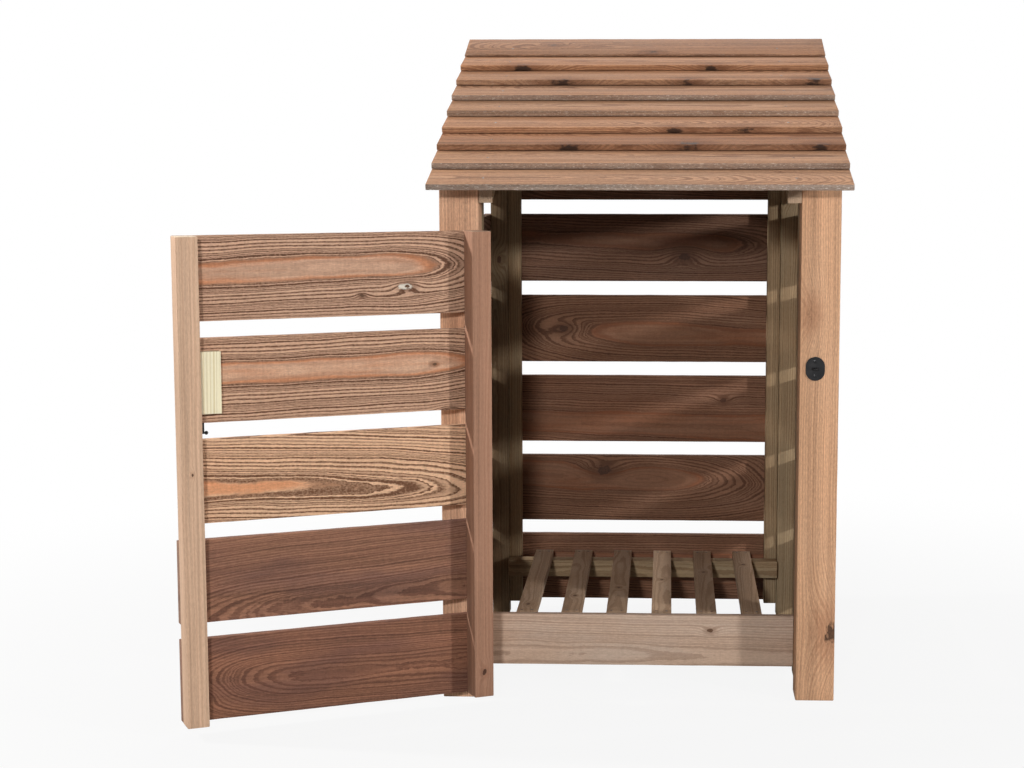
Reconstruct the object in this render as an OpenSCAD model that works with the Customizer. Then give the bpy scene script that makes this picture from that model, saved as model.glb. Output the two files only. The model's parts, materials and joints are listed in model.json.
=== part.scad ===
// Timber log store: a slatted box on legs with a lapped sloping roof and one boarded
// door, which stands open. Sizes are in millimetres. The store is drawn with x across
// the front, y running from the front of the posts to the back, and z up from the ground,
// then moved so that the origin is the middle of the hinge post's foot.

/* [Frame] */
// Width over the two front posts
front_w = 750; // [640:5:1000]
// Width of a front post
post_w = 74; // [60:1:100]
// Depth of a front post
post_d = 75; // [40:1:100]
// Depth from the front of the posts to the back of the back boards
store_d = 767; // [450:1:1000]
// Thickness of a side batten, across the store
side_batten_t = 38; // [20:1:50]
// Width of a side batten, front to back
side_batten_w = 45; // [25:1:70]
// Width of a back batten, across the store
back_batten_w = 28; // [18:1:60]
// Depth of a back batten, front to back
back_batten_d = 38; // [18:1:60]
// Thickness of a rafter
rafter_t = 27; // [18:1:45]
// Depth of a rafter, measured square to its slope
rafter_d = 48; // [30:1:70]

/* [Boards] */
// Height of a wall or door board
board_h = 150; // [100:1:180]
// Open gap between two wall boards
wall_gap = 31; // [10:1:50]
// Height of a door board
door_board_h = 152; // [100:1:180]
// Open gap between two door boards
door_gap = 29; // [10:1:50]
// Thickness of a wall or door board
board_t = 18; // [12:1:25]
// Clear height under the lowest wall board
wall_clear = 28; // [10:1:60]
// Number of boards in a wall
wall_count = 7; // [7:1:7]

/* [Roof] */
// How far the roof runs out past each post, sideways
roof_side = 15; // [0:1:60]
// How far the roof runs out past the back wall
roof_back = 12.5; // [5:0.5:60]
// Slope of the rafters, in degrees
slope = 19.5; // [12:0.5:25]
// Number of lapped roof boards
roof_count = 9; // [9:1:9]
// How far one roof board laps the one below it
roof_lap = 21; // [10:1:40]
// Thickness of a roof board's thick edge
roof_thick = 13; // [10:1:20]
// Thickness of a roof board's thin edge
roof_thin = 6; // [4:1:8]
// How far the eave board runs out past the posts, along the slope
eave = 92; // [60:1:120]
// How far the eave board's edge is lifted off the slope
eave_lift = 5.5; // [2:0.5:8]
// Where the second roof board starts, along the slope from the posts' front
second_start = 14; // [5:1:20]

/* [Floor] */
// Height of the sill board
sill_h = 101; // [60:1:150]
// Thickness of the sill board
sill_t = 18; // [12:1:25]
// Height of the sill's lower edge over the ground
sill_clear = 47; // [20:1:80]
// Number of floor slats
slat_count = 6; // [4:1:6]
// Width of a floor slat
slat_w = 40; // [25:1:60]
// Gap between an outer floor slat and the side batten beside it
slat_side_gap = 60; // [5:1:70]
// Thickness of a floor slat
slat_t = 16; // [12:1:25]
// Side of a floor bearer's square section
bearer_s = 38; // [25:1:50]

/* [Door] */
// Number of door boards
door_count = 5; // [5:1:5]
// Height of the door's lower edge over the ground
door_clear = 22; // [15:1:60]
// How far a stile runs on below the lowest door board
stile_tail = 1; // [0:1:20]
// Gap between the door and the hinge post
door_hinge_gap = 9.5; // [8:0.5:15]
// Gap between the door and the latch post
door_latch_gap = 11; // [8:0.5:15]
// Width of the stile on the hinge side
hinge_stile_w = 38; // [30:1:60]
// Depth of the stile on the hinge side, behind the boards
hinge_stile_d = 45; // [25:1:48]
// Width of the stile on the latch side
latch_stile_w = 40; // [30:1:60]
// Depth of the stile on the latch side, behind the boards
latch_stile_d = 40; // [25:1:48]
// How far the door stands open, in degrees
open_angle = 154.5; // [90:0.5:170]

/* [Hinges] */
// Radius of a hinge pin
pin_r = 3; // [2:0.5:4]
// Thickness of a hinge plate
plate_t = 2.5; // [1.5:0.5:3]
// Width of the leaf on the post
leaf_w = 26; // [20:1:40]
// Height of the leaf on the post
leaf_h = 100; // [70:1:130]
// Length of the strap on the door, from the pin
strap_l = 250; // [150:5:350]
// Height of the strap at the pin
strap_h = 32; // [24:1:40]
// Height of the strap at its tip
strap_tip = 18; // [12:1:22]

/* [Cabin hook] */
// Width of an oval plate
oval_w = 36; // [28:1:45]
// Height of an oval plate
oval_h = 45; // [38:1:55]
// Radius of the hook's rod
rod_r = 1.8; // [1.5:0.1:2.5]
// Radius of the ball at the hook's end
ball_r = 3.5; // [3:0.1:5]
// How far the hook's arm stops short of the middle of the eye
hook_short = 1; // [0:1:15]
// How far the hook's pin sits in from the latch stile
hook_in = 16; // [10:1:25]
// How far the eye sits in from the middle of the latch post
eye_in = 8; // [0:1:15]
// How far the oval plates sit below the middle of their door board
hook_drop = 2; // [0:1:20]
// Width of the packing block behind the hook plate
packer_w = 40; // [30:1:45]
// Height of the packing block
packer_h = 111; // [80:1:130]
// Thickness of the packing block
packer_t = 19; // [10:1:25]

/* [Hidden] */
$fn = 48;

wall_pitch = board_h + wall_gap;
door_pitch = door_board_h + door_gap;
post_x = (front_w - post_w) / 2;
inner_x = front_w / 2 - post_w;
wall_x = inner_x + side_batten_t;
back_y = store_d - board_t;
// The back wall's top board ends under the roof, which sets the posts' height
post_h = wall_clear + wall_count * wall_pitch - wall_gap - back_y * tan(slope);
roof_w = front_w + 2 * roof_side;
course = ((store_d + roof_back) / cos(slope) - second_start - roof_lap) / (roof_count - 1);
roof_board_w = course + roof_lap;
slat_pitch = (2 * inner_x - 2 * slat_side_gap - slat_w) / (slat_count - 1);
sill_top = sill_clear + sill_h;
door_h = stile_tail + door_count * door_pitch - door_gap;
door_left = -inner_x + door_hinge_gap;
door_right = inner_x - door_latch_gap;
stile_inner = door_right - latch_stile_w;
barrel_r = pin_r + plate_t;
pivot_x = -inner_x + door_hinge_gap / 2;
pivot_y = -barrel_r;
// Radial clearance of a hinge's bore on its pin, and the gap between two knuckles
pin_play = 0.05;
knuckle_gap = 0.5;
strap_z = [door_z(0) + door_board_h / 2, door_z(door_count - 1) + door_board_h / 2];
hook_z = door_z(door_count - 2) + door_board_h / 2 - hook_drop;
hook_x = stile_inner - hook_in;
eye_x = post_x - eye_in;
hook_l = eye_x - hook_x - hook_short + rod_r;
// The hook's own pin, its ring and how far they stand off the oval plate
hook_pin_r = 3;
hook_play = 0.3;
hook_ring_r = 8.5;
hook_ring_t = 2 * rod_r + 0.8;
hook_arm_r = 0.85 * rod_r;
hook_stand = 5;
oval_t = 2;
eye_r = 5;

// Height of the roof's sloping underside at a distance behind the posts' front
function roof_z(y) = post_h + y * tan(slope);
function wall_z(k) = wall_clear + k * wall_pitch;
function door_z(k) = door_clear + stile_tail + k * door_pitch;
function roof_start(k) = k == 0 ? -eave : second_start + (k - 1) * course;
function roof_lift(k) = k == 0 ? eave_lift : roof_top(k - 1, roof_start(k));
// Height over the slope of board k's upper face, at a place along the slope
function roof_top(k, u) =
    roof_thin + (roof_start(k) + roof_board_w - u) * (roof_lift(k) + roof_thick - roof_thin) / roof_board_w;

module at_hinge_post() translate([post_x, -post_d / 2, 0]) children();

// Cuts what is inside it off along the underside of the roof
module under_roof() {
    far = 2 * store_d;
    intersection() {
        children();
        rotate([90, 0, 90]) translate([0, 0, -roof_w]) linear_extrude(2 * roof_w)
            polygon([[-far, -1], [far, -1], [far, roof_z(far)], [-far, roof_z(-far)]]);
    }
}

module block(x0, x1, y0, y1, z0, z1) {
    translate([x0, y0, z0]) cube([x1 - x0, y1 - y0, z1 - z0]);
}

module post(side) {
    color("peru") under_roof()
        block(side * post_x - post_w / 2, side * post_x + post_w / 2, 0, post_d, 0, 2 * post_h);
}

module side_upright(side, y0, z0) {
    x0 = side > 0 ? inner_x : -wall_x;
    color("tan") under_roof()
        block(x0, x0 + side_batten_t, y0, y0 + side_batten_w, z0, 2 * post_h);
}

module side_boards(side) {
    x0 = side > 0 ? wall_x : -wall_x - board_t;
    color("sienna") under_roof() union() for (k = [0 : wall_count - 1])
        block(x0, x0 + board_t, post_d, back_y, wall_z(k), wall_z(k) + board_h);
}

module back_batten(side) {
    x0 = side > 0 ? inner_x - back_batten_w : -inner_x;
    top = roof_z(back_y - back_batten_d) - rafter_d / cos(slope);
    color("tan") block(x0, x0 + back_batten_w, back_y - back_batten_d, back_y, wall_clear, top);
}

module back_board(k) {
    half = wall_x + board_t;
    color("saddlebrown") under_roof()
        block(-half, half, back_y, store_d, wall_z(k), wall_z(k) + board_h);
}

module rafter(side) {
    x0 = side > 0 ? inner_x - rafter_t : -inner_x;
    drop = rafter_d / cos(slope);
    color("tan") translate([x0, 0, 0]) rotate([90, 0, 90]) linear_extrude(rafter_t)
        polygon([[0, roof_z(0) - drop], [back_y, roof_z(back_y) - drop], [back_y, roof_z(back_y)],
                 [0, roof_z(0)]]);
}

// The top board is laid the other way round, with its thin edge to the front
module roof_board(k) {
    turned = k == roof_count - 1;
    low = roof_start(k);
    high = low + roof_board_w;
    lift = roof_lift(k);
    low_t = turned ? roof_thin : roof_thick;
    high_t = turned ? roof_thick : roof_thin;
    color("sienna") translate([-roof_w / 2, 0, post_h]) rotate([slope, 0, 0]) rotate([90, 0, 90])
        linear_extrude(roof_w)
            polygon([[low, lift], [high, 0], [high, high_t], [low, lift + low_t]]);
}

module sill() {
    color("rosybrown") block(-inner_x, inner_x, post_d, post_d + sill_t, sill_clear, sill_top);
}

module bearer(y0) {
    top = sill_top - slat_t;
    color("tan") block(-inner_x, inner_x, y0, y0 + bearer_s, top - bearer_s, top);
}

module floor_slats() {
    first = -(slat_count - 1) * slat_pitch / 2;
    color("burlywood") for (k = [0 : slat_count - 1])
        block(first + k * slat_pitch - slat_w / 2, first + k * slat_pitch + slat_w / 2,
              post_d + sill_t, back_y - back_batten_d, sill_top - slat_t, sill_top);
}

// Turns the door's pieces from shut to the angle at which the door stands
module door_open() {
    translate([pivot_x, pivot_y, 0]) rotate([0, 0, -open_angle]) translate([-pivot_x, -pivot_y, 0])
        children();
}

module stile(x0, x1, depth) {
    color("peru") block(x0, x1, board_t, board_t + depth, door_clear, door_clear + door_h);
}

module door_board(k) {
    color("sienna") block(door_left, door_right, 0, board_t, door_z(k), door_z(k) + door_board_h);
}

module packing_block() {
    color("khaki") block(stile_inner - packer_w, stile_inner, board_t, board_t + packer_t,
                         hook_z - packer_h / 2, hook_z + packer_h / 2);
}

module barrel(z0, z1) {
    translate([pivot_x, pivot_y, z0]) cylinder(r = barrel_r, h = z1 - z0);
}

module post_leaf(z) {
    mid = strap_h / 2 + knuckle_gap;
    edge = pivot_x - barrel_r - knuckle_gap;
    block(edge - leaf_w, edge, -plate_t, 0, z - leaf_h / 2, z + leaf_h / 2);
    for (end = [[-leaf_h / 2, -mid], [mid, leaf_h / 2]]) {
        block(edge, pivot_x, -plate_t, 0, z + end[0], z + end[1]);
        barrel(z + end[0], z + end[1]);
    }
    translate([pivot_x, pivot_y, z - leaf_h / 2]) cylinder(r = pin_r, h = leaf_h);
}

module door_strap(z) {
    difference() {
        union() {
            barrel(z - strap_h / 2, z + strap_h / 2);
            translate([pivot_x, 0, z]) rotate([90, 0, 0]) linear_extrude(plate_t)
                polygon([[0, -strap_h / 2], [strap_l, -strap_tip / 2], [strap_l, strap_tip / 2],
                         [0, strap_h / 2]]);
            translate([pivot_x + strap_l, 0, z]) rotate([90, 0, 0])
                cylinder(r = strap_tip / 2, h = plate_t);
        }
        translate([pivot_x, pivot_y, z - strap_h]) cylinder(r = pin_r + pin_play, h = 2 * strap_h);
    }
}

module oval_plate(x) {
    shift = (oval_h - oval_w) / 2;
    translate([x, 0, hook_z]) rotate([90, 0, 0]) linear_extrude(oval_t) union() {
        for (s = [-1, 1]) translate([0, s * shift]) circle(r = oval_w / 2);
        square([oval_w, 2 * shift], center = true);
    }
}

module eye_plate() {
    color("dimgray") {
        oval_plate(eye_x);
        translate([eye_x, -oval_t - eye_r, hook_z])
            rotate_extrude() translate([eye_r, 0]) circle(r = rod_r);
    }
}

module hook_plate() {
    reach = oval_t + hook_stand + hook_ring_t + hook_play;
    color("dimgray") {
        oval_plate(hook_x);
        translate([hook_x, 0, hook_z]) rotate([90, 0, 0]) cylinder(r = hook_pin_r, h = reach);
        translate([hook_x, -reach, hook_z]) rotate([90, 0, 0])
            cylinder(r = hook_ring_r - 3, h = oval_t);
    }
}

// Hangs from its pin; the ball's short arm points back towards the hinges
module cabin_hook() {
    color("dimgray") translate([hook_x, -oval_t - hook_stand - hook_ring_t / 2, hook_z])
        difference() {
            union() {
                rotate([90, 0, 0]) cylinder(r = hook_ring_r, h = hook_ring_t, center = true);
                translate([0, 0, -hook_l]) cylinder(r = rod_r, h = hook_l - hook_pin_r - hook_play - 1);
                translate([0, 0, -hook_l + rod_r]) rotate([0, -90, 0]) {
                    cylinder(r = hook_arm_r, h = ball_r + rod_r);
                    translate([0, 0, ball_r + rod_r]) sphere(r = ball_r);
                }
            }
            rotate([90, 0, 0]) cylinder(r = hook_pin_r + hook_play, h = 2 * hook_ring_t, center = true);
        }
}

at_hinge_post() {
    post(-1);  // hinge_post
    post(1);  // latch_post
    side_upright(-1, post_d, wall_clear);  // left_front_batten
    side_upright(-1, back_y - side_batten_w, 0);  // left_rear_leg
    side_upright(1, post_d, wall_clear);  // right_front_batten
    side_upright(1, back_y - side_batten_w, 0);  // right_rear_leg
    side_boards(-1);  // left_side_boards
    side_boards(1);  // right_side_boards
    back_batten(-1);  // left_back_batten
    back_batten(1);  // right_back_batten
    for (k = [1 : wall_count])
        back_board(k - 1);
    rafter(-1);  // left_rafter
    rafter(1);  // right_rafter
    for (k = [1 : roof_count])
        roof_board(k - 1);
    sill();
    bearer(post_d + sill_t);  // front_bearer
    bearer(back_y - back_batten_d - bearer_s);  // rear_bearer
    floor_slats();
    eye_plate();
    color("dimgray") for (z = strap_z) post_leaf(z);  // post_leaves
    door_open() color("dimgray") for (z = strap_z) door_strap(z);  // door_straps
    door_open() stile(door_left, door_left + hinge_stile_w, hinge_stile_d);  // hinge_stile
    door_open() stile(stile_inner, door_right, latch_stile_d);  // latch_stile
    for (k = [1 : door_count])
        door_open() door_board(k - 1);
    door_open() packing_block();
    door_open() hook_plate();
    door_open() cabin_hook();
}
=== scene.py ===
import json
import math

import bpy
from mathutils import Matrix, Vector


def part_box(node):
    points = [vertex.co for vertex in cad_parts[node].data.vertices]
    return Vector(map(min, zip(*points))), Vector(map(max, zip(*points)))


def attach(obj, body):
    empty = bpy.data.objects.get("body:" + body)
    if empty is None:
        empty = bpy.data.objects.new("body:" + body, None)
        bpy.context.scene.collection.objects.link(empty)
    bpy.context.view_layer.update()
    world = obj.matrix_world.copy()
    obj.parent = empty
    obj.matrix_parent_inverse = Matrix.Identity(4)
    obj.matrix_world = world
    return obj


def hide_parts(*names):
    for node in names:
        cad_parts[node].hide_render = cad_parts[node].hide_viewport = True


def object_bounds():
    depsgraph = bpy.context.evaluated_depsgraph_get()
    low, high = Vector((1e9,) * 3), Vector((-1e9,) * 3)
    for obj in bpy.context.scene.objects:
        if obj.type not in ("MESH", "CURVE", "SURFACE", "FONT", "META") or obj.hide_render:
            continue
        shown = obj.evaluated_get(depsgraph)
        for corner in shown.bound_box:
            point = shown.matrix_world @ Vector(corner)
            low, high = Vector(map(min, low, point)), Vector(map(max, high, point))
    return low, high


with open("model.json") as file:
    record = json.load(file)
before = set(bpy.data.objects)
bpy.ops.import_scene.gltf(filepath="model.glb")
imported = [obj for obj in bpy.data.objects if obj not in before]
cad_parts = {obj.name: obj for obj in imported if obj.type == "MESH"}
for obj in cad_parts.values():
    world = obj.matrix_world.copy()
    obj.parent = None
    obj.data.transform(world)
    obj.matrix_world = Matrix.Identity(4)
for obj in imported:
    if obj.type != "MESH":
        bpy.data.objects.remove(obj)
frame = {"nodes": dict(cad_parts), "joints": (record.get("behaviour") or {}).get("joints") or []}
frame_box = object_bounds()

# ---- Camera, lamps and floor --------------------------------------------------------------------
# A long lens at chest height, square to the front but for a few degrees, on a white studio floor.
# Three lamps stand low in front, on the right and on the left, and broad soft ones hang overhead
# and behind.
lens = bpy.data.cameras.new("studio_camera")
lens.sensor_width = 36.0
lens.lens = 72.07
lens.shift_x = -0.0694
lens.shift_y = 0.0346
camera = bpy.data.objects.new("studio_camera", lens)
camera.location = (0.3906, -3.8713, 1.064)
camera.rotation_euler = (math.radians(82.25), 0.0, math.radians(2.36))
bpy.context.scene.collection.objects.link(camera)
bpy.context.scene.camera = camera
bpy.context.scene.view_settings.view_transform = "Standard"
lamps_aim = Vector((0.30, 0.10, 0.60))


def hang_lamp(name, azimuth, elevation, distance, size, power):
    lamp = bpy.data.lights.new(name, "AREA")
    lamp.shape = "DISK"
    lamp.size = size
    lamp.energy = power
    holder = bpy.data.objects.new(name, lamp)
    turn = math.radians(azimuth)
    rise = math.radians(elevation)
    way = Vector((math.sin(turn) * math.cos(rise), -math.cos(turn) * math.cos(rise), math.sin(rise)))
    holder.location = lamps_aim + way * distance
    holder.rotation_euler = (-way).to_track_quat("-Z", "Y").to_euler()
    bpy.context.scene.collection.objects.link(holder)


hang_lamp("right_lamp", 56, 12, 4.5, 0.32, 100)
hang_lamp("left_lamp", -90, 26, 4.5, 0.32, 175)
hang_lamp("front_lamp", -5, 14, 5.0, 0.30, 112)
hang_lamp("top_lamp", 0, 84, 4.0, 2.4, 26)
hang_lamp("back_lamp", 180, 42, 4.5, 2.0, 75)


def add_node(tree, kind, links=None, **settings):
    made = tree.nodes.new(kind)
    for key, value in settings.items():
        setattr(made, key, value)
    for key, value in (links or {}).items():
        if isinstance(value, bpy.types.NodeSocket):
            tree.links.new(value, made.inputs[key])
        else:
            made.inputs[key].default_value = value
    return made


def reckon(tree, operation, *values):
    return add_node(tree, "ShaderNodeMath", dict(enumerate(values)), operation=operation).outputs[0]


def seen_straight(tree):
    """One for a ray from the camera, off a gloss or through glass, and none for bounced light."""
    ray = add_node(tree, "ShaderNodeLightPath").outputs
    seen = reckon(tree, "MAXIMUM", ray["Is Camera Ray"], ray["Is Glossy Ray"])
    return reckon(tree, "MAXIMUM", seen, ray["Is Transmission Ray"])


def blank_finish(name):
    finish = bpy.data.materials.new(name)
    finish.use_nodes = True
    finish.node_tree.nodes.clear()
    return finish, finish.node_tree


studio = bpy.data.worlds.new("studio")
studio.use_nodes = True
bpy.context.scene.world = studio
tree = studio.node_tree
tree.nodes.clear()
ambient = add_node(tree, "ShaderNodeBackground", {"Color": (1.0, 0.99, 0.98, 1), "Strength": 0.06})
white = add_node(tree, "ShaderNodeBackground", {"Color": (1, 1, 1, 1), "Strength": 1.0})
mixed = add_node(tree, "ShaderNodeMixShader", {
    0: seen_straight(tree), 1: ambient.outputs[0], 2: white.outputs[0]})
add_node(tree, "ShaderNodeOutputWorld", {"Surface": mixed.outputs[0]})

# the floor shows white, less the object's shadow close by, and bounces light as plain pale paint
floor_paint, tree = blank_finish("floor_paint")
matt = add_node(tree, "ShaderNodeBsdfDiffuse", {"Color": (0.38, 0.37, 0.36, 1)})
glow = add_node(tree, "ShaderNodeEmission", {"Color": (1, 1, 1, 1), "Strength": 1.0})
place = add_node(tree, "ShaderNodeTexCoord")
from_middle = add_node(tree, "ShaderNodeVectorMath", {
    0: place.outputs["Object"], 1: (0.25, 0.15, frame_box[0].z)}, operation="DISTANCE")
fade = add_node(tree, "ShaderNodeMapRange", {
    "Value": from_middle.outputs["Value"], "From Min": 0.7, "From Max": 2.4, "To Min": 0.90, "To Max": 1.0
}, interpolation_type="SMOOTHSTEP")
share = reckon(tree, "MULTIPLY", seen_straight(tree), fade.outputs["Result"])
mixed = add_node(tree, "ShaderNodeMixShader", {0: share, 1: matt.outputs[0], 2: glow.outputs[0]})
add_node(tree, "ShaderNodeOutputMaterial", {"Surface": mixed.outputs[0]})

bpy.ops.object.select_all(action="DESELECT")
bpy.ops.mesh.primitive_plane_add(size=60, location=(0.3, 0, frame_box[0].z - 0.0005))
floor = bpy.context.object
floor.name = "studio_floor"
bpy.ops.object.transform_apply(location=True, rotation=False, scale=False)
floor.data.materials.append(floor_paint)

# ---- Posts --------------------------------------------------------------------------------------
# Two planed softwood posts, 74 by 75 mm, pressure treated and weathered to a warm tan.
# Their heads are sawn off along the slope of the roof, and the side walls are nailed to them.


def ease(tree, value, low, high):
    links = {"Value": value, "From Min": low, "From Max": high}
    return add_node(tree, "ShaderNodeMapRange", links, interpolation_type="SMOOTHSTEP").outputs["Result"]


def blend_colour(tree, share, first, second, way="MIX"):
    made = add_node(tree, "ShaderNodeMix", data_type="RGBA", blend_type=way)
    for key, value in ((0, share), (6, first), (7, second)):
        if isinstance(value, bpy.types.NodeSocket):
            tree.links.new(value, made.inputs[key])
        else:
            made.inputs[key].default_value = value
    return made.outputs[2]


def make_timber_group():
    tree = bpy.data.node_groups.new("sawn_timber", "ShaderNodeTree")
    for name, kind, value in (
            ("Grain", "Vector", None), ("Log", "Vector", None), ("Bow", "Vector", None),
            ("Knot 1", "Vector", None), ("Knot 2", "Vector", None), ("Knot 3", "Vector", None),
            ("Cut", "Vector", None), ("Tone", "Color", (1, 1, 1, 1)), ("Pale", "Color", (1, 1, 1, 1)),
            ("Dark", "Color", (1, 1, 1, 1)), ("Heart", "Color", (1, 1, 1, 1)),
            ("Aged", "Color", (1, 1, 1, 1)), ("Edge", "Color", (0.3, 0.25, 0.21, 1)),
            ("End", "Color", (0.4, 0.28, 0.19, 1)), ("Ring Width", "Float", 0.005),
            ("Contrast", "Float", 0.8), ("Wander", "Float", 1.0), ("Heart Size", "Float", 0.03),
            ("Aging", "Float", 0.3), ("Fuzz", "Float", 0.3), ("Saw", "Float", 0.3),
            ("Bands", "Float", 0.3), ("Knot Round", "Float", 0.0), ("Relief", "Float", 1.0)):
        made = tree.interface.new_socket(name, in_out="INPUT", socket_type="NodeSocket" + kind)
        if value is not None:
            made.default_value = value
    for name, kind in (("Colour", "Color"), ("Roughness", "Float"), ("Height", "Float")):
        tree.interface.new_socket(name, in_out="OUTPUT", socket_type="NodeSocket" + kind)
    given = tree.nodes.new("NodeGroupInput").outputs
    out = tree.nodes.new("NodeGroupOutput")
    place = add_node(tree, "ShaderNodeSeparateXYZ", {0: given["Grain"]}).outputs
    along, across, through = place[0], place[1], place[2]
    log = add_node(tree, "ShaderNodeSeparateXYZ", {0: given["Log"]}).outputs
    bow = add_node(tree, "ShaderNodeSeparateXYZ", {0: given["Bow"]}).outputs
    cut = add_node(tree, "ShaderNodeSeparateXYZ", {0: given["Cut"]}).outputs

    def plus(*values):
        return reckon(tree, "ADD", *values)

    def minus(*values):
        return reckon(tree, "SUBTRACT", *values)

    def times(*values):
        return reckon(tree, "MULTIPLY", *values)

    def over(*values):
        return reckon(tree, "DIVIDE", *values)

    def stretched_noise(length_scale, cross_scale, detail=1.0, rough=0.5):
        pattern = add_node(tree, "ShaderNodeCombineXYZ", {
            0: times(along, length_scale), 1: times(across, cross_scale), 2: times(through, cross_scale)})
        made = add_node(tree, "ShaderNodeTexNoise", {
            "Vector": pattern.outputs[0], "Scale": 1.0, "Detail": detail, "Roughness": rough})
        return minus(made.outputs["Fac"], 0.5)

    # the log's own wavering, from long sweeps down to the ragged edge of a ring
    sweep = times(stretched_noise(2.3, 9.0), 0.018)
    wave = times(stretched_noise(9.0, 30.0), 0.0075)
    ragged = times(stretched_noise(85.0, 260.0, 2.0, 0.6), 0.0026)
    burr = times(stretched_noise(70.0, 130.0, 3.0, 0.6), 1.6)
    waver = times(plus(plus(sweep, wave), ragged), given["Wander"])

    # how far each spot is from the heart of the log, which tapers, drifts aside and bows away
    from_bow = minus(along, bow[1])
    beyond = reckon(tree, "MAXIMUM", times(from_bow, reckon(tree, "SIGN", bow[0])), 0.0)
    bowed = times(times(beyond, beyond), reckon(tree, "ABSOLUTE", bow[0]))
    side = plus(plus(across, log[0]), times(from_bow, bow[2]))
    deep = plus(reckon(tree, "ABSOLUTE", plus(through, log[1])), bowed)
    radius = reckon(tree, "SQRT", plus(times(side, side), times(deep, deep)))
    radius = plus(radius, times(from_bow, log[2]))
    radius = plus(radius, waver)
    knot_core = 0.0
    knot_edge = 0.0
    knot_rings = 0.0
    knot_gum = 0.0
    soft_edge = minus(0.72, times(given["Knot Round"], 0.22))
    for index in (1, 2, 3):
        knot = add_node(tree, "ShaderNodeSeparateXYZ", {0: given[f"Knot {index}"]}).outputs
        away = minus(along, knot[0])
        aside = minus(across, knot[1])
        size = reckon(tree, "MAXIMUM", reckon(tree, "ABSOLUTE", knot[2]), 0.0001)
        there = ease(tree, size, 0.0001, 0.001)
        long_way = times(away, 0.45)
        square = plus(times(long_way, long_way), times(aside, aside))
        reach = times(times(size, size), 5.0)
        swell = reckon(tree, "EXPONENT", times(over(square, reach), -1.0))
        swell = times(times(swell, there), times(size, 2.0))
        radius = plus(radius, swell)
        short_way = times(away, 0.62)
        inward = times(through, given["Knot Round"])
        spread = plus(times(short_way, short_way), times(aside, aside))
        spread = reckon(tree, "SQRT", plus(spread, times(inward, inward)))
        spread = plus(spread, times(burr, size))
        share = over(spread, size)
        core = times(minus(1.0, ease(tree, share, soft_edge, 1.05)), there)
        rim = times(minus(1.0, ease(tree, share, 1.0, 3.2)), there)
        rings = times(reckon(tree, "PINGPONG", times(share, 2.2), 0.5), core)
        knot_core = reckon(tree, "MAXIMUM", core, knot_core)
        knot_edge = reckon(tree, "MAXIMUM", rim, knot_edge)
        knot_rings = reckon(tree, "MAXIMUM", rings, knot_rings)
        runs = over(times(away, 0.40), size)
        off_line = over(minus(aside, times(ragged, 2.5)), size)
        pool = minus(runs, 0.35)
        pool = reckon(tree, "SQRT", plus(times(pool, pool), times(off_line, off_line)))
        pool = plus(pool, burr)
        gummy = times(ease(tree, share, 0.45, 0.60), reckon(tree, "LESS_THAN", knot[2], 0.0))
        gum = times(minus(1.0, ease(tree, pool, 0.80, 1.15)), gummy)
        knot_gum = reckon(tree, "MAXIMUM", gum, knot_gum)

    # yearly rings: pale spring wood that darkens slowly, and ends sharply at the next spring
    years = over(radius, given["Ring Width"])
    lean = add_node(tree, "ShaderNodeTexNoise", {"W": times(years, 0.45), "Detail": 0.0},
                    noise_dimensions="1D").outputs["Fac"]
    years = plus(years, times(lean, 0.9))
    part = reckon(tree, "FRACT", years)
    year = add_node(tree, "ShaderNodeTexWhiteNoise", {"W": reckon(tree, "FLOOR", years)},
                    noise_dimensions="1D").outputs["Value"]
    late = minus(ease(tree, part, 0.34, 0.78), ease(tree, part, 0.90, 1.0))
    late = times(late, plus(times(year, 0.40), 0.72))
    fibre = stretched_noise(120.0, 620.0, 2.0, 0.65)
    bead = stretched_noise(230.0, 330.0, 1.0)
    saw = stretched_noise(330.0, 60.0, 1.0)
    blotch = stretched_noise(4.0, 16.0, 3.0, 0.55)
    band = plus(stretched_noise(0.9, 48.0, 1.0), stretched_noise(3.0, 210.0, 2.0, 0.6))
    beaded = plus(1.0, times(times(bead, 1.7), given["Saw"]))
    late = times(late, beaded)
    heart = over(plus(radius, times(blotch, 0.016)), given["Heart Size"])
    brink = minus(ease(tree, heart, 0.80, 0.94), ease(tree, heart, 0.97, 1.04))
    heart = minus(1.0, ease(tree, heart, 0.93, 1.04))
    late = times(late, minus(1.0, times(heart, 0.70)))
    share = add_node(tree, "ShaderNodeClamp", {0: times(late, given["Contrast"])}).outputs[0]

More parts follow.
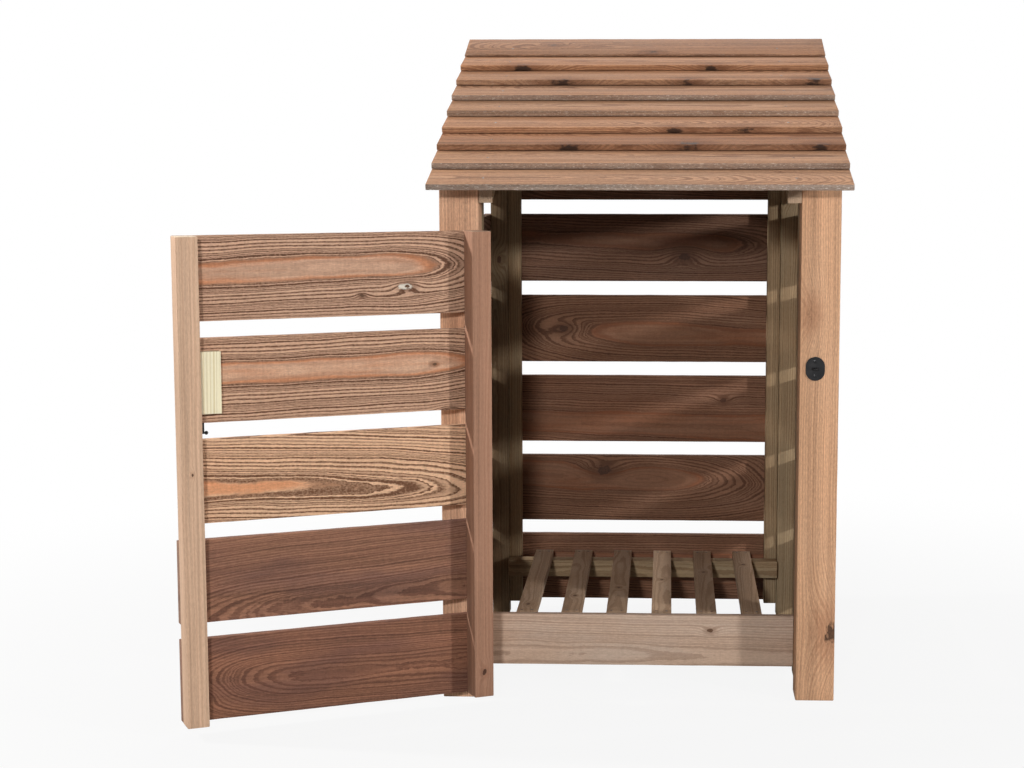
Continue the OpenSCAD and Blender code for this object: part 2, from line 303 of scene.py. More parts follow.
    smear = times(stretched_noise(5.0, 55.0, 2.0, 0.6), 2.6)
    middle = blend_colour(tree, plus(smear, plus(0.12, brink)), given["Pale"], given["Heart"])
    colour = blend_colour(tree, heart, given["Pale"], middle)
    old = times(ease(tree, blotch, -0.12, 0.22), given["Aging"])
    colour = blend_colour(tree, old, colour, given["Aged"])
    colour = blend_colour(tree, share, colour, given["Dark"])
    ends = blend_colour(tree, times(share, 0.45), given["End"], given["Dark"])
    colour = blend_colour(tree, cut[0], colour, ends)
    weather = times(cut[1], plus(0.82, blotch))
    colour = blend_colour(tree, weather, colour, given["Edge"])
    fleck = times(ease(tree, stretched_noise(110.0, 420.0, 3.0, 0.8), 0.05, 0.14), weather)
    colour = blend_colour(tree, times(fleck, 0.85), colour, (0.76, 0.69, 0.62, 1))
    patch = times(ease(tree, stretched_noise(14.0, 40.0, 3.0, 0.65), 0.04, 0.18), cut[2])
    patch = times(patch, minus(0.65, times(cut[1], 0.40)))
    colour = blend_colour(tree, patch, colour, given["Dark"])
    knot_rings = plus(knot_rings, times(given["Knot Round"], 0.85))
    knot_dark = blend_colour(tree, knot_rings, (0.125, 0.062, 0.034, 1), (0.035, 0.018, 0.011, 1))
    colour = blend_colour(tree, times(knot_edge, 0.55), colour, given["Dark"])
    colour = blend_colour(tree, knot_core, colour, knot_dark)
    colour = blend_colour(tree, knot_gum, colour, (0.60, 0.54, 0.46, 1))
    speck = plus(times(fibre, given["Fuzz"]), times(plus(saw, bead), times(given["Saw"], 0.22)))
    light = plus(1.0, times(speck, 1.7))
    light = plus(light, times(blotch, 0.40))
    light = plus(light, times(band, given["Bands"]))
    # painted shade: front faces marked in the cut attribute (the roof risers) are made 12 % darker, for the
    # shade under each lap
    light = times(light, minus(1.0, times(cut[2], 0.12)))
    grey = add_node(tree, "ShaderNodeCombineXYZ", {0: light, 1: light, 2: light}).outputs[0]
    colour = blend_colour(tree, 1.0, colour, grey, "MULTIPLY")
    colour = blend_colour(tree, 1.0, colour, given["Tone"], "MULTIPLY")
    tree.links.new(colour, out.inputs["Colour"])
    rough = plus(0.80, times(fibre, 0.3))
    rough = minus(rough, times(knot_core, 0.15))
    tree.links.new(rough, out.inputs["Roughness"])
    height = plus(times(late, 0.00022), times(fibre, 0.0006))
    height = plus(height, times(saw, 0.0003))
    tree.links.new(times(height, given["Relief"]), out.inputs["Height"])
    return tree


sawn_timber = make_timber_group()


def timber_finish(name, **values):
    finish, tree = blank_finish(name)
    wood = add_node(tree, "ShaderNodeGroup", node_tree=sawn_timber)
    for socket in ("Grain", "Log", "Bow", "Knot 1", "Knot 2", "Knot 3", "Cut"):
        mark = add_node(tree, "ShaderNodeAttribute", attribute_name=socket.lower().replace(" ", "_"))
        tree.links.new(mark.outputs["Vector"], wood.inputs[socket])
    tone = add_node(tree, "ShaderNodeAttribute", attribute_name="tone")
    tree.links.new(tone.outputs["Color"], wood.inputs["Tone"])
    for key, value in values.items():
        wood.inputs[key.replace("_", " ").title()].default_value = value
    bump = add_node(tree, "ShaderNodeBump", {
        "Height": wood.outputs["Height"], "Strength": 0.7, "Distance": 1.0})
    shell = add_node(tree, "ShaderNodeBsdfPrincipled", {
        "Base Color": wood.outputs["Colour"], "Roughness": wood.outputs["Roughness"],
        "Normal": bump.outputs["Normal"], "Specular IOR Level": 0.25})
    add_node(tree, "ShaderNodeOutputMaterial", {"Surface": shell.outputs["BSDF"]})
    return finish


upright = Matrix(((0, 1, 0, 0), (0, 0, 1, 0), (1, 0, 0, 0), (0, 0, 0, 1)))
roof_rafter = frame["nodes"]["left_rafter"].data.vertices
rafter_low, rafter_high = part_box("left_rafter")
roof_front = max(v.co.z for v in roof_rafter if v.co.y < rafter_low.y + 0.0001)
roof_slope = math.atan2(rafter_high.z - roof_front, rafter_high.y - rafter_low.y)
roof_normal = Vector((0, -math.sin(roof_slope), math.cos(roof_slope)))
roof_line = (Vector((0, rafter_low.y, roof_front)), roof_normal)


def saw_timber(name, pose, size, seed, finish, pith=(0.0, 0.03), taper=0.01, knots=(), tone=(1, 1, 1),
               bow=(0, 0, 0), cuts=24, arris=0.0012, waver=0.0008, trims=(), edge=0.0):
    """A board as long as size[0] on its own x, with its width on y and its thickness on z."""
    bpy.ops.object.select_all(action="DESELECT")
    bpy.ops.mesh.primitive_cube_add(size=1.0)
    board = bpy.context.object
    board.name = name
    board.data.name = name
    board.scale = size
    bpy.ops.object.transform_apply(location=False, rotation=False, scale=True)
    mesh = board.data
    bpy.context.tool_settings.mesh_select_mode = (False, True, False)
    bpy.ops.object.mode_set(mode="EDIT")
    bpy.ops.mesh.select_all(action="DESELECT")
    bpy.ops.object.mode_set(mode="OBJECT")
    for line in mesh.edges:
        ends = [mesh.vertices[i].co for i in line.vertices]
        line.select = abs(ends[0].x - ends[1].x) > 0.5 * size[0]
    bpy.ops.object.mode_set(mode="EDIT")
    bpy.ops.mesh.subdivide(number_cuts=cuts)
    bpy.ops.object.mode_set(mode="OBJECT")
    board.matrix_world = pose
    bpy.ops.object.transform_apply(location=True, rotation=True, scale=True)
    for point, normal in trims:
        bpy.ops.object.mode_set(mode="EDIT")
        bpy.ops.mesh.select_all(action="SELECT")
        bpy.ops.mesh.bisect(plane_co=point, plane_no=normal, use_fill=True, clear_outer=True)
        bpy.ops.object.mode_set(mode="OBJECT")
    rounding = board.modifiers.new("arris", "BEVEL")
    rounding.width = arris
    rounding.segments = 2
    rounding.limit_method = "ANGLE"
    rounding.angle_limit = math.radians(25)
    bpy.ops.object.modifier_apply(modifier="arris")
    if waver:
        unevenness = bpy.data.textures.get("unevenness") or bpy.data.textures.new("unevenness", "CLOUDS")
        unevenness.noise_scale = 0.045
        shake = board.modifiers.new("waver", "DISPLACE")
        shake.texture = unevenness
        shake.texture_coords = "LOCAL"
        shake.strength = waver
        shake.mid_level = 1.0
        bpy.ops.object.modifier_apply(modifier="waver")
    bpy.ops.object.shade_smooth_by_angle(angle=math.radians(28))
    back = pose.inverted()
    shift = Vector((1.7 * seed, 0, 0))
    own = mesh.attributes.new("grain", "FLOAT_VECTOR", "POINT")
    own.data.foreach_set("vector", [c for v in mesh.vertices for c in (back @ v.co) + shift])
    marks = [("log", (pith[0], pith[1], taper)), ("bow", (bow[0], bow[1] + shift.x, bow[2]))]
    for index in range(3):
        where = knots[index] if index < len(knots) else (0, 0, 0)
        marks.append((f"knot_{index + 1}", (where[0] + shift.x, where[1], where[2])))
    for key, value in marks:
        mark = mesh.attributes.new(key, "FLOAT_VECTOR", "POINT")
        mark.data.foreach_set("vector", list(value) * len(mesh.vertices))
    cut = mesh.attributes.new("cut", "FLOAT_VECTOR", "FACE")
    for face in mesh.polygons:
        facing = back.to_3x3() @ face.normal
        in_front = facing.y < -0.7
        # the third part marks the front face of a board with a weathered edge (the roof risers), which gets
        # dark patches and a painted shade
        cut.data[face.index].vector = (abs(facing.x) > 0.8, edge * in_front, (edge > 0) * in_front)
    shade = mesh.attributes.new("tone", "FLOAT_COLOR", "POINT")
    shade.data.foreach_set("color", [*tone, 1.0] * len(mesh.vertices))
    mesh.materials.append(finish)
    return board


def fit_timber(piece, node, body="store"):
    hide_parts(node)
    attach(piece, body)


def box_pose(lie, low, high):
    middle = (low + high) / 2
    pose = Matrix.Translation(middle) @ lie
    spread = lie.to_3x3().transposed() @ (high - low)
    return pose, [abs(c) for c in spread]


post_finish = timber_finish(
    "post_wood", pale=(0.62, 0.385, 0.245, 1), dark=(0.33, 0.165, 0.095, 1), heart=(0.50, 0.27, 0.165, 1),
    aged=(0.52, 0.35, 0.24, 1), end=(0.45, 0.31, 0.2, 1), ring_width=0.0046, contrast=0.42, wander=0.45,
    heart_size=0.02, aging=0.5, fuzz=0.55, saw=0.30, bands=0.60, knot_round=0.3, relief=0.6)
for node, seed, pith, knots, tone in (
        ("hinge_post", 1, (0.050, 0.062), ((0.20, 0.01, 0.014),), (0.98, 0.93, 0.91)),
        ("latch_post", 2, (-0.070, 0.050), ((-0.38, 0.032, 0.019), (0.23, -0.02, 0.012)), (1.0, 0.93, 0.85))):
    low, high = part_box(node)
    pose, size = box_pose(upright, low, high)
    piece = saw_timber("wood_" + node, pose, size, seed, post_finish, pith, 0.006, knots, tone,
                       cuts=40, arris=0.0022, waver=0.0006, trims=(roof_line,))
    fit_timber(piece, node)

# ---- Side uprights ------------------------------------------------------------------------------
# Sawn battens inside each side wall: one beside the post, hung clear of the ground, and one at the
# back that runs on down to be the rear leg. The side boards are nailed to them from outside.
batten_finish = timber_finish(
    "batten_wood", pale=(0.37, 0.255, 0.145, 1), dark=(0.20, 0.12, 0.062, 1), heart=(0.35, 0.22, 0.12, 1),
    aged=(0.30, 0.245, 0.155, 1), ring_width=0.0036, contrast=0.65, wander=0.5, heart_size=0.02,
    aging=0.6, fuzz=0.35, saw=0.25, bands=0.5, relief=0.8)
for seed, node in enumerate(("left_front_batten", "left_rear_leg", "right_front_batten", "right_rear_leg")):
    low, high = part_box(node)
    pose, size = box_pose(upright, low, high)
    # painted shade: the tone runs 0.70, 0.80, 0.90, 1.00 in the order above, so the left battens are painted
    # darker to stand for the shade inside the bay
    piece = saw_timber("wood_" + node, pose, size, 5 + seed, batten_finish, (0.03 - 0.02 * seed, 0.045),
                       0.008, ((0.1 + 0.07 * seed, 0.0, 0.006),), [0.70 + 0.10 * seed] * 3, cuts=40,
                       trims=(roof_line,))
    fit_timber(piece, node)

# ---- Side walls ---------------------------------------------------------------------------------
# Seven rough-sawn boards a side, 150 by 18 mm with 31 mm between them for air, nailed to the posts
# and uprights. The two top ones are cut off along the roof.
wall_finish = timber_finish(
    "wall_wood", pale=(0.36, 0.215, 0.135, 1), dark=(0.13, 0.068, 0.04, 1), heart=(0.34, 0.155, 0.08, 1),
    aged=(0.30, 0.225, 0.17, 1), ring_width=0.0052, contrast=0.85, wander=1.0, heart_size=0.032,
    aging=0.35, fuzz=0.35, saw=0.45, relief=1.2)
left_wall = Matrix(((0, 0, 1, 0), (1, 0, 0, 0), (0, 1, 0, 0), (0, 0, 0, 1)))
wall_tones = ((0.95, 0.93, 0.92), (1.08, 1.0, 0.95), (0.85, 0.83, 0.84), (1.0, 0.95, 0.9), (1.12, 1.05, 1.0),
              (0.9, 0.9, 0.92), (1.02, 0.98, 0.95))
for side, node in enumerate(("left_side_boards", "right_side_boards")):
    low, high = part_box(node)
    for k in range(7):
        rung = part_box(f"back_board_{k + 1}")
        bottom = Vector((low.x, low.y, rung[0].z))
        top = Vector((high.x, high.y, max(rung[1].z, rung[0].z + 0.15)))
        pose, size = box_pose(left_wall, bottom, top)
        seed = 10 + 7 * side + k
        pith = (0.012 * ((seed * 5) % 7 - 3), 0.016 + 0.004 * (seed % 5))
        taper = 0.03 * ((seed * 3) % 5 - 2) / 2
        knot = (0.09 * ((seed * 7) % 7 - 3), 0.02 * ((seed * 4) % 5 - 2), 0.004 + 0.002 * (seed % 4))
        bow = (0.5 * ((seed * 3) % 3 - 1), 0.05 * (seed % 5 - 2), 0.04)
        piece = saw_timber(f"wood_{node}_{k + 1}", pose, size, seed, wall_finish, pith, taper, (knot,),
                           wall_tones[(k * 3 + side) % 7], bow, cuts=36, trims=(roof_line,))
        fit_timber(piece, node)

# ---- Back wall ----------------------------------------------------------------------------------
# Seven more of the same boards right across the back, over the ends of the side boards, with an
# upright batten on the inside at each end that stops under the rafter.
across_front = Matrix(((1, 0, 0, 0), (0, 0, -1, 0), (0, 1, 0, 0), (0, 0, 0, 1)))
for seed, node in enumerate(("left_back_batten", "right_back_batten")):
    low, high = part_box(node)
    pose, size = box_pose(upright, low, high)
    piece = saw_timber("wood_" + node, pose, size, 26 + seed, batten_finish, (0.02, 0.04), 0.005, cuts=36)
    fit_timber(piece, node)
# painted shade: every back board's tone is multiplied down to stand for the shade inside the bay
back_painted_shade = (0.64, 0.55, 0.52)
for k in range(7):
    node = f"back_board_{k + 1}"
    low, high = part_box(node)
    pose, size = box_pose(across_front, low, high)
    seed = 30 + k
    pith = (0.012 * ((seed * 5) % 7 - 3), -0.016 - 0.004 * (seed % 5))
    taper = 0.02 * ((seed * 3) % 5 - 2) / 2
    knot = (0.09 * ((seed * 3) % 7 - 3), 0.02 * ((seed * 4) % 5 - 2), 0.005 + 0.002 * (seed % 4))
    tone = [shade * c for shade, c in zip(back_painted_shade, wall_tones[(k * 2 + 4) % 7])]
    bow = (0.5 * ((seed * 5) % 3 - 1), 0.05 * (seed % 5 - 2), 0.03)
    piece = saw_timber("wood_" + node, pose, size, seed, wall_finish, pith, taper, (knot,), tone, bow,
                       cuts=36, trims=(roof_line,))
    fit_timber(piece, node)

# ---- Rafters and roof ---------------------------------------------------------------------------
# A rafter on edge inside each side wall, and nine feather-edge boards across them from the eave up,
# each lapped over the thin edge of the one below. The top board lies the other way round.
sloping = Matrix.Rotation(roof_slope, 4, "X")


def points_before(pose, node):
    """The node's points as they lie before the pose is applied."""
    return [pose.inverted() @ v.co for v in frame["nodes"][node].data.vertices]


def corners(points):
    return (Vector([min(p[i] for p in points) for i in range(3)]),
            Vector([max(p[i] for p in points) for i in range(3)]))


for seed, node in enumerate(("left_rafter", "right_rafter")):
    low, high = corners(points_before(sloping, node))
    rafter_lie = Matrix(((0, 0, 1, 0), (1, 0, 0, 0), (0, 1, 0, 0), (0, 0, 0, 1)))
    pose, size = box_pose(rafter_lie, low, high)
    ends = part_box(node)
    plumb = ((ends[0], Vector((0, -1, 0))), (ends[1], Vector((0, 1, 0))))
    piece = saw_timber("wood_" + node, sloping @ pose, size, 40 + seed, batten_finish, (0.02, 0.04), 0.005,
                       cuts=30, trims=plumb)
    fit_timber(piece, node)

roof_finish = timber_finish(
    "roof_wood", pale=(0.445, 0.246, 0.140, 1), dark=(0.16, 0.070, 0.036, 1), heart=(0.40, 0.185, 0.090, 1),
    aged=(0.355, 0.225, 0.145, 1), edge=(0.305, 0.245, 0.205, 1), end=(0.36, 0.24, 0.16, 1),
    ring_width=0.0040, contrast=0.62, wander=0.7, heart_size=0.02, aging=0.5, fuzz=0.70, saw=0.35,
    bands=0.95, knot_round=1.0, relief=1.0)
# weathered greys each riser, and any value above 0 also gives the riser a painted shade under its lap
for k, weathered, tone, knots in (
        (1, 1.00, (1.08, 1.06, 1.04), ((0.26, 0.030, 0.0025), (-0.06, 0.045, 0.0025))),
        (2, 0.90, (1.02, 0.98, 0.94), ((0.10, 0.050, 0.002),)),
        (3, 0.15, (0.82, 0.68, 0.58),
         ((0.093, -0.050, 0.0160), (0.342, -0.055, 0.0130), (-0.135, -0.064, 0.0150))),
        (4, 0.05, (1.07, 0.97, 0.88),
         ((0.065, -0.056, 0.0110), (0.20, -0.073, 0.0180), (-0.2, 0.03, 0.002))),
        (5, 0.70, (0.94, 0.90, 0.84), ((-0.22, 0.045, 0.002), (0.15, 0.05, 0.002))),
        (6, 0.90, (0.90, 0.85, 0.81), ((0.18, 0.040, 0.0025),)),
        (7, 0.25, (0.98, 0.88, 0.78),
         ((0.094, -0.052, 0.0130), (0.353, -0.052, 0.0160), (-0.17, -0.068, 0.018))),
        (8, 0.05, (1.00, 0.87, 0.75), ((-0.258, -0.058, 0.0150), (0.142, -0.056, 0.0120))),
        (9, 0.40, (0.79, 0.70, 0.63),
         ((-0.197, 0.012, 0.0080), (0.016, -0.042, 0.0100), (-0.058, 0.03, 0.004)))):
    node = f"roof_board_{k}"
    points = points_before(sloping, node)
    low, high = corners(points)
    front = [p.z for p in points if p.y < low.y + 0.001]
    rear = [p.z for p in points if p.y > high.y - 0.001]
    depth = high.y - low.y
    faces = ((Vector((0, low.y, max(front))), Vector((0, max(front) - max(rear), depth))),
             (Vector((0, low.y, min(front))), Vector((0, min(rear) - min(front), -depth))))
    trims = [(sloping @ point, sloping.to_3x3() @ normal.normalized()) for point, normal in faces]
    pose, size = box_pose(Matrix.Identity(4), low, high)
    pith = (0.01 * ((k * 5) % 7 - 3), 0.035 + 0.006 * (k % 3))
    bow = (0.3 * ((k * 2) % 3 - 1), 0.05 * (k % 4 - 2), 0.03)
    piece = saw_timber("wood_" + node, sloping @ pose, size, 44 + k, roof_finish, pith, 0.012, knots, tone,
                       bow, cuts=48, arris=0.0018, waver=0.0009, trims=trims, edge=weathered)
    fit_timber(piece, node)

# ---- Floor --------------------------------------------------------------------------------------
# A sill board between the posts, two bearers and six slats that run front to back, 16 mm thick, so
# that air gets under the logs.
sill_finish = timber_finish(
    "sill_wood", pale=(0.53, 0.37, 0.27, 1), dark=(0.27, 0.17, 0.115, 1), heart=(0.46, 0.30, 0.205, 1),
    aged=(0.43, 0.35, 0.29, 1), ring_width=0.0042, contrast=0.5, wander=0.6, heart_size=0.02,
    aging=0.5, fuzz=0.34, saw=0.3, relief=0.9)
low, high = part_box("sill")
pose, size = box_pose(across_front, low, high)
piece = saw_timber("wood_sill", pose, size, 55, sill_finish, (0.03, 0.03), 0.01, ((0.14, 0.02, 0.004),),
                   cuts=36)
fit_timber(piece, "sill")
for seed, node in enumerate(("front_bearer", "rear_bearer")):
    low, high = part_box(node)
    pose, size = box_pose(across_front, low, high)
    piece = saw_timber("wood_" + node, pose, size, 56 + seed, batten_finish, (0.02, 0.04), 0.006, cuts=30)
    fit_timber(piece, node)
floor_finish = timber_finish(
    "floor_wood", pale=(0.46, 0.31, 0.20, 1), dark=(0.28, 0.17, 0.10, 1), heart=(0.42, 0.26, 0.16, 1),
    aged=(0.40, 0.31, 0.23, 1), ring_width=0.0042, contrast=0.6, wander=0.7, heart_size=0.02,
    aging=0.4, fuzz=0.3, saw=0.3, relief=1.0)
front_to_back = Matrix(((0, -1, 0, 0), (1, 0, 0, 0), (0, 0, 1, 0), (0, 0, 0, 1)))
low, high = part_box("floor_slats")
slat_edges = sorted({round(v.co.x, 5) for v in frame["nodes"]["floor_slats"].data.vertices})
for k in range(len(slat_edges) // 2):
    pose, size = box_pose(front_to_back, Vector((slat_edges[2 * k], low.y, low.z)),
                          Vector((slat_edges[2 * k + 1], high.y, high.z)))
    piece = saw_timber(f"wood_floor_slat_{k + 1}", pose, size, 60 + k, floor_finish,
                       (0.01 * (k - 2), 0.03), 0.012, ((0.08 * (k - 3), 0.0, 0.004),), cuts=24)
    fit_timber(piece, "floor_slats")

# ---- Door ---------------------------------------------------------------------------------------
# Five rough-sawn boards nailed to two planed stiles, hung on the left post and standing open, with
# a pale packing block screwed inside the fourth board for the hook. It is worked on as if shut.
swing = [j for j in frame["joints"] if j["name"] == "door_swing"][0]
hinge_line = Matrix.Translation(Vector(swing["pos_m"]))
shut_angle = math.radians(swing["range_deg"][1])
opened = hinge_line @ Matrix.Rotation(-shut_angle, 4, "Z") @ hinge_line.inverted()


def shut_box(node):
    return corners(points_before(opened, node))


stile_finish = timber_finish(
    "stile_wood", pale=(0.64, 0.43, 0.30, 1), dark=(0.44, 0.26, 0.17, 1), heart=(0.56, 0.33, 0.215, 1),
    aged=(0.58, 0.40, 0.29, 1), end=(0.84, 0.70, 0.54, 1), ring_width=0.0038, contrast=0.5, wander=0.3,
    heart_size=0.02, aging=0.4, fuzz=0.30, saw=0.14, bands=0.60, relief=0.5)
for node, seed, tone, knots in (
        ("hinge_stile", 70, (0.55, 0.44, 0.40), ((-0.39, 0.0, 0.004),)),
        ("latch_stile", 71, (0.92, 0.91, 0.88), ((0.02, 0.0, 0.002),))):
    low, high = shut_box(node)
    pose, size = box_pose(upright, low, high)
    piece = saw_timber("wood_" + node, opened @ pose, size, seed, stile_finish, (0.05, 0.05), 0.004, knots,
                       tone, cuts=40, arris=0.0018, waver=0.0005)
    fit_timber(piece, node, "door")

door_finish = timber_finish(
    "door_wood", pale=(0.545, 0.33, 0.22, 1), dark=(0.105, 0.046, 0.025, 1), heart=(0.47, 0.195, 0.095, 1),
    aged=(0.44, 0.30, 0.21, 1), end=(0.36, 0.23, 0.15, 1), ring_width=0.0057, contrast=0.95, wander=0.75,
    heart_size=0.031, aging=0.3, fuzz=0.45, saw=0.75, bands=0.15, relief=1.2)
smoky_finish = timber_finish(
    "smoky_wood", pale=(0.245, 0.118, 0.072, 1), dark=(0.075, 0.030, 0.020, 1), heart=(0.25, 0.105, 0.052, 1),
    aged=(0.13, 0.066, 0.050, 1), end=(0.22, 0.13, 0.09, 1), ring_width=0.0042, contrast=0.68, wander=0.8,
    heart_size=0.02, aging=0.9, fuzz=0.50, saw=0.45, bands=0.80, relief=1.0)
upper_short = 0.0042
for k, finish, pith, taper, knots, tone, bow in (
        (5, door_finish, (-0.013, -0.016), 0.000, ((-0.141, -0.024, -0.0055), (-0.054, -0.038, 0.0028)),
         (1.0, 1.0, 1.0), (-0.78, -0.104, 0.012)),
        (4, door_finish, (-0.014, -0.012), 0.004, ((-0.192, 0.011, 0.0028), (-0.219, -0.078, 0.005)),
         (1.03, 1.02, 1.0), (-0.60, -0.130, 0.01)),
        (3, door_finish, (0.030, -0.020), -0.012, (), (1.28, 1.29, 1.20),
         (-0.30, -0.05, -0.05)),
        (2, smoky_finish, (0.060, -0.034), 0.014, (), (1.13, 1.13, 1.12), (0.2, 0.0, 0.03)),
        (1, smoky_finish, (0.010, -0.024), 0.010, ((0.26, -0.03, 0.007),), (1.12, 1.05, 1.0),
         (0.75, 0.06, -0.03))):
    node = f"door_board_{k}"
    low, high = shut_box(node)
    if k > 2:
        high.x -= upper_short
    pose, size = box_pose(across_front, low, high)
    piece = saw_timber("wood_" + node, opened @ pose, size, 72 + k, finish, pith, taper, knots, tone, bow,
                       cuts=48)
    fit_timber(piece, node, "door")

packer_finish = timber_finish(
    "new_softwood", pale=(0.82, 0.76, 0.56, 1), dark=(0.60, 0.50, 0.28, 1), heart=(0.75, 0.69, 0.49, 1),
    aged=(0.73, 0.68, 0.52, 1), ring_width=0.0050, contrast=0.75, wander=0.2, heart_size=0.005,
    aging=0.2, fuzz=0.08, saw=0.05, relief=0.4)
low, high = shut_box("packing_block")
pose, size = box_pose(upright, low, high)
piece = saw_timber("wood_packing_block", opened @ pose, size, 80, packer_finish, (0.06, 0.03), 0.01, cuts=8,
                   arris=0.0006, waver=0.0)
fit_timber(piece, "packing_block", "door")

# ---- Ironmongery --------------------------------------------------------------------------------
# Two black tee hinges on the outside, and a cabin hook on the door with its eye on the latch post:
# pressed and turned steel with a satin black coat, rubbed through a little along the edges.
coat, tree = blank_finish("black_steel")
where = add_node(tree, "ShaderNodeTexCoord").outputs["Object"]
grit = add_node(tree, "ShaderNodeTexNoise", {"Vector": where, "Scale": 900.0, "Detail": 2.0})
smear = add_node(tree, "ShaderNodeTexNoise", {"Vector": where, "Scale": 45.0, "Detail": 3.0})
rubbed = ease(tree, smear.outputs["Fac"], 0.4, 0.7)
black = blend_colour(tree, rubbed, (0.004, 0.004, 0.005, 1), (0.015, 0.014, 0.015, 1))
bump = add_node(tree, "ShaderNodeBump", {
    "Height": reckon(tree, "MULTIPLY", grit.outputs["Fac"], 0.0002), "Strength": 0.6, "Distance": 1.0})
gloss = reckon(tree, "ADD", 0.20, reckon(tree, "MULTIPLY", smear.outputs["Fac"], 0.25))
shell = add_node(tree, "ShaderNodeBsdfPrincipled", {
    "Base Color": black, "Roughness": gloss, "Normal": bump.outputs["Normal"], "Specular IOR Level": 0.24})
add_node(tree, "ShaderNodeOutputMaterial", {"Surface": shell.outputs["BSDF"]})
for node in ("eye_plate", "post_leaves", "door_straps", "hook_plate", "cabin_hook"):
    slots = frame["nodes"][node].data.materials
    slots.clear()
    slots.append(coat)

# ---- Screws and nails ---------------------------------------------------------------------------
# Black countersunk cross-head screws hold the hinges and the two oval plates. Every board is held by
# two wire nails at each post, leg, stile or batten that it crosses, their heads driven just flush.


def drive(head, name, places, body):
    copies = []
    for spot, out in places:
        mesh = head.data.copy()
        mesh.transform(Matrix.Translation(spot) @ out.to_track_quat("Z", "Y").to_matrix().to_4x4())
        copies.append(bpy.data.objects.new(name, mesh))
        bpy.context.scene.collection.objects.link(copies[-1])
    bpy.ops.object.select_all(action="DESELECT")
    for made in copies:
        made.select_set(True)
    bpy.context.view_layer.objects.active = copies[0]
    bpy.ops.object.join()
    copies[0].name = name
    bpy.ops.object.shade_smooth_by_angle(angle=math.radians(30))
    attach(copies[0], body)


def turn_head(name, radius, dome, finish, sides, shank=0.0014):
    bpy.ops.object.select_all(action="DESELECT")
    bpy.ops.mesh.primitive_cylinder_add(vertices=sides, radius=radius, depth=shank,
                                        location=(0, 0, -shank / 2))
    head = bpy.context.object
    head.name = name
    bpy.ops.object.transform_apply(location=True, rotation=False, scale=False)
    bpy.context.tool_settings.mesh_select_mode = (False, False, True)
    bpy.ops.object.mode_set(mode="EDIT")
    bpy.ops.mesh.select_all(action="DESELECT")
    bpy.ops.object.mode_set(mode="OBJECT")
    for face in head.data.polygons:
        face.select = face.normal.z > 0.9
    bpy.ops.object.mode_set(mode="EDIT")
    for share in (0.24, 0.34):
        bpy.ops.mesh.inset(thickness=radius * share)
        bpy.ops.transform.translate(value=(0, 0, dome))
    bpy.ops.object.mode_set(mode="OBJECT")
    head.data.materials.append(finish)
    return head


screw_radius = 0.0036
screw_dome = 0.0003
slot_width = 0.0008
slot_height = 0.0016
screw = turn_head("screw_head", screw_radius, screw_dome, coat, 20)
bpy.ops.mesh.primitive_cube_add(size=1.0, location=(0, 0, screw_dome))
cross = bpy.context.object
cross.scale = (screw_radius, slot_width, slot_height)
bpy.ops.object.transform_apply(location=True, rotation=False, scale=True)
bpy.ops.object.mode_set(mode="EDIT")
bpy.ops.mesh.select_all(action="SELECT")
bpy.ops.mesh.duplicate()
bpy.ops.transform.rotate(value=math.radians(90), orient_axis="Z", center_override=(0, 0, screw_dome))
bpy.ops.object.mode_set(mode="OBJECT")
recess = screw.modifiers.new("recess", "BOOLEAN")
recess.operation = "DIFFERENCE"
recess.solver = "EXACT"
recess.use_self = True
recess.object = cross
bpy.context.view_layer.objects.active = screw
bpy.ops.object.modifier_apply(modifier="recess")
bpy.data.objects.remove(cross)

post_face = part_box("hinge_post")[0].y
leaf_middle = (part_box("post_leaves")[0].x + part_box("hinge_post")[1].x) / 2 - 0.003
leaf_thickness = 0.0025
leaf_holes = (-0.038, 0.0, 0.038)
strap_holes = (0.040, 0.100, 0.160, 0.222)
plate_thickness = 0.002
plate_holes = (-0.0135, 0.0135)
heights = [(low.z + high.z) / 2 for low, high in (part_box("door_board_1"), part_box("door_board_5"))]
forward = Vector((0, -1, 0))
door_forward = opened.to_3x3() @ forward
drive(screw, "leaf_screws", [(Vector((leaf_middle, post_face - leaf_thickness, z + step)), forward)
                             for z in heights for step in leaf_holes], "store")
spots = [opened @ Vector((swing["pos_m"][0] + step, post_face - leaf_thickness, z))
         for z in heights for step in strap_holes]
drive(screw, "strap_screws", [(spot, door_forward) for spot in spots], "door")
for node, body, pose in (("eye_plate", "store", Matrix.Identity(4)), ("hook_plate", "door", opened)):
    low, high = corners(points_before(pose, node))
    middle = (low.x + high.x) / 2
    height = (low.z + high.z) / 2
    out = pose.to_3x3() @ forward
    drive(screw, node + "_screws", [(pose @ Vector((middle, post_face - plate_thickness, height + step)), out)
                                    for step in plate_holes], body)
bpy.data.objects.remove(screw)

rust, tree = blank_finish("nail_steel")
where = add_node(tree, "ShaderNodeTexCoord").outputs["Object"]
spots = add_node(tree, "ShaderNodeTexNoise", {"Vector": where, "Scale": 420.0, "Detail": 3.0})
rusty = ease(tree, spots.outputs["Fac"], 0.42, 0.62)
bump = add_node(tree, "ShaderNodeBump", {
    "Height": reckon(tree, "MULTIPLY", spots.outputs["Fac"], 0.0003), "Strength": 0.6, "Distance": 1.0})
shell = add_node(tree, "ShaderNodeBsdfPrincipled", {
    "Base Color": blend_colour(tree, rusty, (0.20, 0.19, 0.18, 1), (0.12, 0.055, 0.03, 1)),
    "Metallic": reckon(tree, "MULTIPLY", reckon(tree, "SUBTRACT", 1.0, rusty), 0.8),
    "Roughness": reckon(tree, "ADD", 0.42, reckon(tree, "MULTIPLY", rusty, 0.4)),
    "Normal": bump.outputs["Normal"]})
add_node(tree, "ShaderNodeOutputMaterial", {"Surface": shell.outputs["BSDF"]})
nail = turn_head("nail_head", 0.0026, 0.00015, rust, 12)

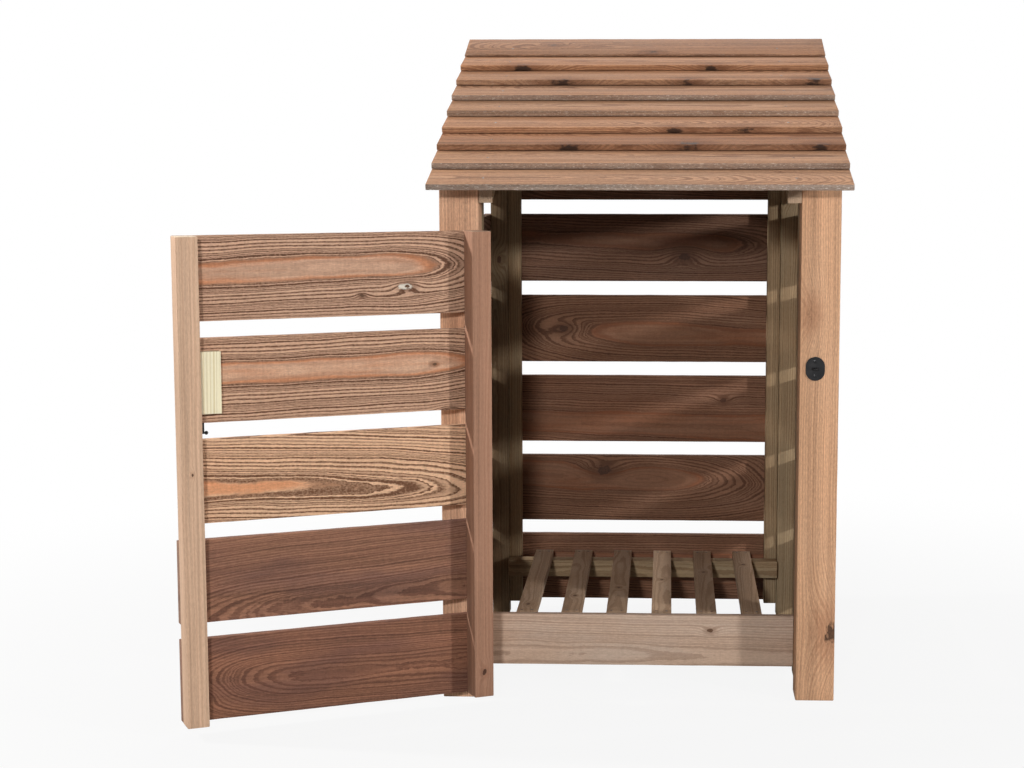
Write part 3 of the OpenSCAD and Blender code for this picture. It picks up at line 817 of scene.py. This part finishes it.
rungs = [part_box(f"back_board_{k + 1}") for k in range(7)]
half_board = 0.075
nail_rows = (-0.042, 0.042)
door_rows = (0.22, 0.78)
slat_rows = (-0.010, 0.010)
nail_up = 0.045
nail_sunk = 0.0004
roof_gap = 0.014


def under_roof(spot):
    return (spot - roof_line[0]).dot(roof_line[1]) < -roof_gap


post_line = (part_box("hinge_post")[0].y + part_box("hinge_post")[1].y) / 2
leg_line = (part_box("left_rear_leg")[0].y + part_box("left_rear_leg")[1].y) / 2
for node, out, end in (("left_side_boards", Vector((-1, 0, 0)), 0),
                       ("right_side_boards", Vector((1, 0, 0)), 1)):
    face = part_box(node)[end].x
    spots = [Vector((face, y, low.z + half_board + step)) for low, high in rungs
             for y in (post_line + 0.012, leg_line - 0.006) for step in nail_rows]
    drive(nail, node.replace("boards", "nails"), [(spot, out) for spot in spots if under_roof(spot)], "store")
back_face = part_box("back_board_1")[1].y
legs = [(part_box(node)[0].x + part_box(node)[1].x) / 2 for node in ("left_rear_leg", "right_rear_leg")]
spots = [Vector((x, back_face, low.z + half_board + step)) for low, high in rungs for x in legs
         for step in nail_rows]
drive(nail, "back_nails", [(spot, Vector((0, 1, 0))) for spot in spots if under_roof(spot)], "store")
spots = []
for k in range(9):
    points = points_before(sloping, f"roof_board_{k + 1}")
    low = min(p.y for p in points)
    high = max(p.y for p in points)
    front = max(p.z for p in points if p.y < low + 0.001)
    rear = max(p.z for p in points if p.y > high - 0.001)
    top = front + (rear - front) * nail_up / (high - low)
    out = sloping.to_3x3() @ Vector((0, front - rear, high - low)).normalized()
    for node in ("left_rafter", "right_rafter"):
        middle = (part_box(node)[0].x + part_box(node)[1].x) / 2
        spots.append((sloping @ Vector((middle, low + nail_up, top)) - out * nail_sunk, out))
drive(nail, "roof_nails", spots, "store")
spots = []
for node in ("hinge_stile", "latch_stile"):
    middle = (shut_box(node)[0].x + shut_box(node)[1].x) / 2
    for k in range(5):
        low, high = shut_box(f"door_board_{k + 1}")
        for share in door_rows:
            spots.append((opened @ Vector((middle, low.y, low.z + share * (high.z - low.z))), door_forward))
drive(nail, "door_nails", spots, "door")
slat_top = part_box("floor_slats")[1].z
spots = [Vector(((slat_edges[2 * k] + slat_edges[2 * k + 1]) / 2 + aside, (low.y + high.y) / 2, slat_top))
         for k in range(len(slat_edges) // 2) for aside in slat_rows
         for low, high in (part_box("front_bearer"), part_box("rear_bearer"))]
drive(nail, "floor_nails", [(spot, Vector((0, 0, 1))) for spot in spots], "store")
bpy.data.objects.remove(nail)
